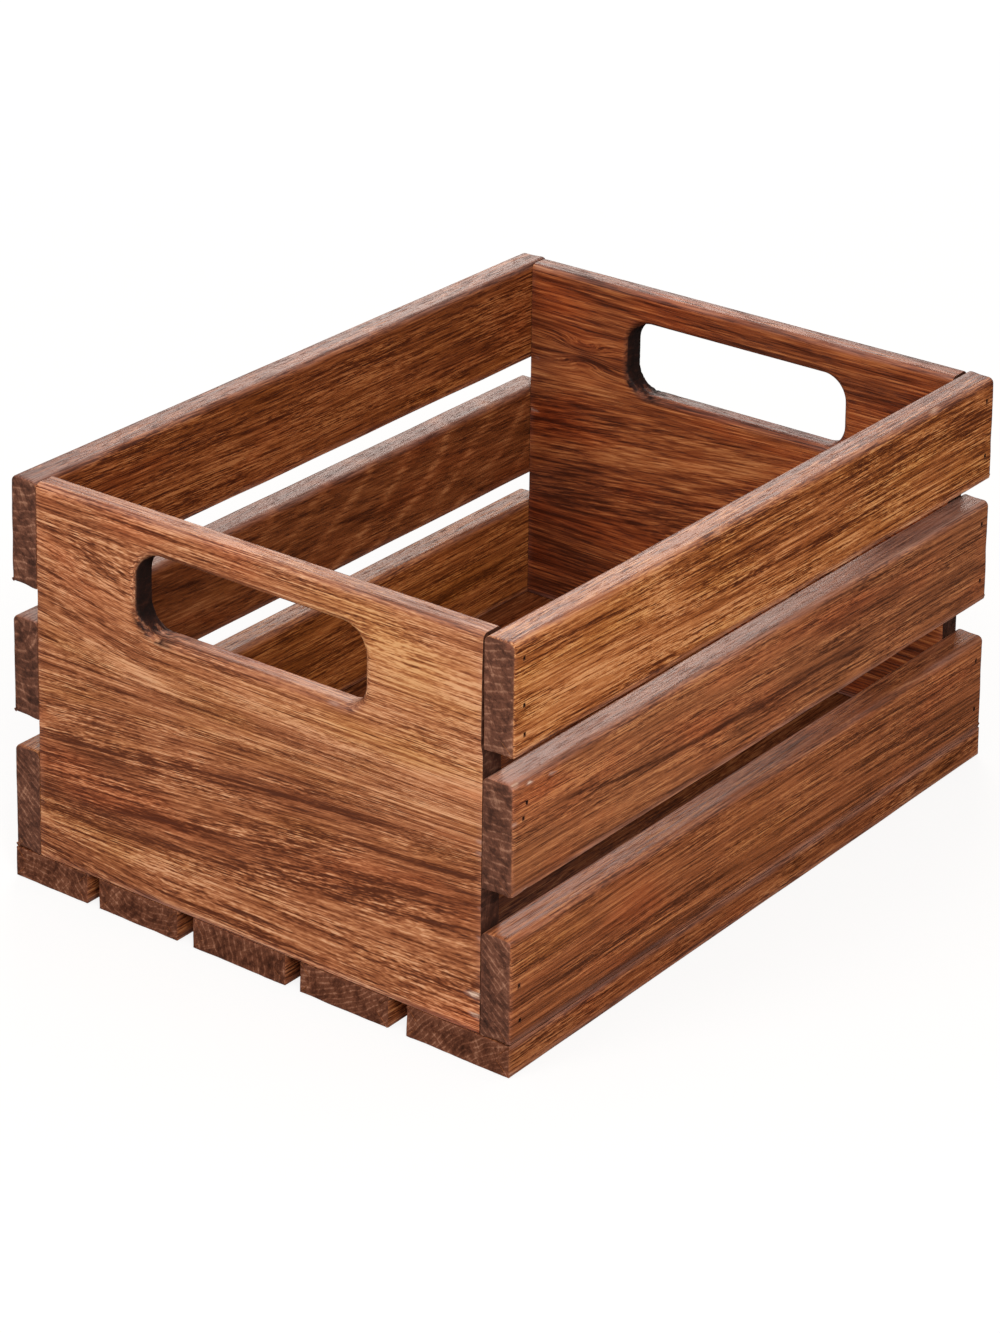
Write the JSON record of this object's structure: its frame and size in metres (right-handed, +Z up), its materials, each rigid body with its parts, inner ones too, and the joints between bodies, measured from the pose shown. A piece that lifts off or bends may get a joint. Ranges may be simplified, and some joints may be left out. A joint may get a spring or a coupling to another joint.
{
  "type": "wooden crate",
  "caption": "Open slatted wooden apple crate with solid end panels, rounded hand holes, nailed side slats and a slatted floor.",
  "frame": {"origin": "centre of the crate's bounding box at the underside of the floor slats", "axes": "+Z up, +Y along the crate's length from the front end panel to the rear one, +X across the crate"},
  "size_m": [0.226, 0.305, 0.157],
  "materials": {
    "slat_wood": "oiled, satin",
    "panel_wood": "oiled, satin",
    "floor_wood": "oiled, satin",
    "brad_steel": "darkened"
  },
  "bodies": {
    "root": {"brad_floor_1_front_1": "brad_steel", "brad_floor_1_front_2": "brad_steel", "brad_floor_1_rear_1": "brad_steel", "brad_floor_1_rear_2": "brad_steel", "brad_floor_2_front_1": "brad_steel", "brad_floor_2_front_2": "brad_steel", "brad_floor_2_rear_1": "brad_steel", "brad_floor_2_rear_2": "brad_steel", "brad_floor_3_front_1": "brad_steel", "brad_floor_3_front_2": "brad_steel", "brad_floor_3_rear_1": "brad_steel", "brad_floor_3_rear_2": "brad_steel", "brad_floor_4_front_1": "brad_steel", "brad_floor_4_front_2": "brad_steel", "brad_floor_4_rear_1": "brad_steel", "brad_floor_4_rear_2": "brad_steel", "brad_floor_5_front_1": "brad_steel", "brad_floor_5_front_2": "brad_steel", "brad_floor_5_rear_1": "brad_steel", "brad_floor_5_rear_2": "brad_steel", "brad_left_bottom_front_1": "brad_steel", "brad_left_bottom_front_2": "brad_steel", "brad_left_bottom_rear_1": "brad_steel", "brad_left_bottom_rear_2": "brad_steel", "brad_left_middle_front_1": "brad_steel", "brad_left_middle_front_2": "brad_steel", "brad_left_middle_rear_1": "brad_steel", "brad_left_middle_rear_2": "brad_steel", "brad_left_top_front_1": "brad_steel", "brad_left_top_front_2": "brad_steel", "brad_left_top_rear_1": "brad_steel", "brad_left_top_rear_2": "brad_steel", "brad_right_bottom_front_1": "brad_steel", "brad_right_bottom_front_2": "brad_steel", "brad_right_bottom_rear_1": "brad_steel", "brad_right_bottom_rear_2": "brad_steel", "brad_right_middle_front_1": "brad_steel", "brad_right_middle_front_2": "brad_steel", "brad_right_middle_rear_1": "brad_steel", "brad_right_middle_rear_2": "brad_steel", "brad_right_top_front_1": "brad_steel", "brad_right_top_front_2": "brad_steel", "brad_right_top_front_3": "brad_steel", "brad_right_top_rear_1": "brad_steel", "brad_right_top_rear_2": "brad_steel", "floor_slat_1": "floor_wood", "floor_slat_2": "floor_wood", "floor_slat_3": "floor_wood", "floor_slat_4": "floor_wood", "floor_slat_5": "floor_wood", "front_panel": "panel_wood", "left_slat_bottom": "slat_wood", "left_slat_middle": "slat_wood", "left_slat_top": "slat_wood", "rear_panel": "panel_wood", "right_slat_bottom": "slat_wood", "right_slat_middle": "slat_wood", "right_slat_top": "slat_wood"}
  },
  "joints": []
}
